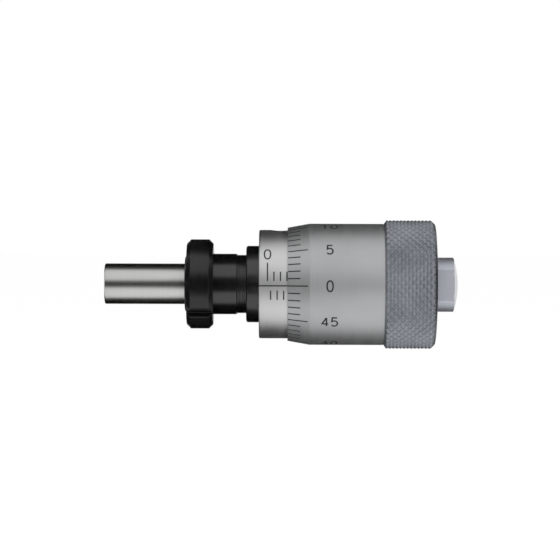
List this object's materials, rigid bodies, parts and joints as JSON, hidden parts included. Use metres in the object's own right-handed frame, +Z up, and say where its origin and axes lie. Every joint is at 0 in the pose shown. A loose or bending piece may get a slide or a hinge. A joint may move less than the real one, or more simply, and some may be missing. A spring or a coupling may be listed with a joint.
{
  "type": "micrometer head",
  "caption": "Micrometer head with a ground spindle, clamp-nut stem, graduated sleeve and large knurled thimble, for setting or measuring small axial distances in a fixture.",
  "frame": {"origin": "on the axis, at the middle of the stem's plain mounting land", "axes": "+X along the axis from the measuring face to the rear cap, +Z up, the index line faces -Y"},
  "size_m": [0.0554, 0.0202, 0.0202],
  "materials": {
    "black_oxide": "black oxide over turned steel",
    "satin_chrome": "satin chrome plate",
    "turned_steel": "as turned",
    "ground_steel": "hardened, ground and lapped",
    "cap_chrome": "bright satin chrome plate"
  },
  "bodies": {
    "stem": {"stem": "black_oxide", "adjusting_nut": "turned_steel"},
    "clamp_nut": {"clamp_nut": "black_oxide"},
    "sleeve": {"sleeve": "satin_chrome"},
    "spindle": {"spindle": "ground_steel"},
    "thimble": {"thimble": "satin_chrome", "thimble_cap": "cap_chrome"}
  },
  "joints": [
    {"name": "clamp_nut_slide", "type": "slide", "parent": "stem", "child": "clamp_nut", "axis": [-1, 0, 0], "range_m": [0, 0.025]},
    {"name": "sleeve_turn", "type": "hinge", "parent": "stem", "child": "sleeve", "pos_m": [0.0145, 0, 0], "axis": [1, 0, 0], "continuous": true},
    {"name": "spindle_feed", "type": "slide", "parent": "stem", "child": "spindle", "axis": [1, 0, 0], "range_m": [-0.003, 0.01]},
    {"name": "thimble_turn", "type": "hinge", "parent": "spindle", "child": "thimble", "pos_m": [0.03, 0, 0], "axis": [1, 0, 0], "range_deg": [-2160, 7200]}
  ],
  "couplings": [
    {"joint": "thimble_turn", "follows": "spindle_feed", "rad_per_m": 12566}
  ]
}
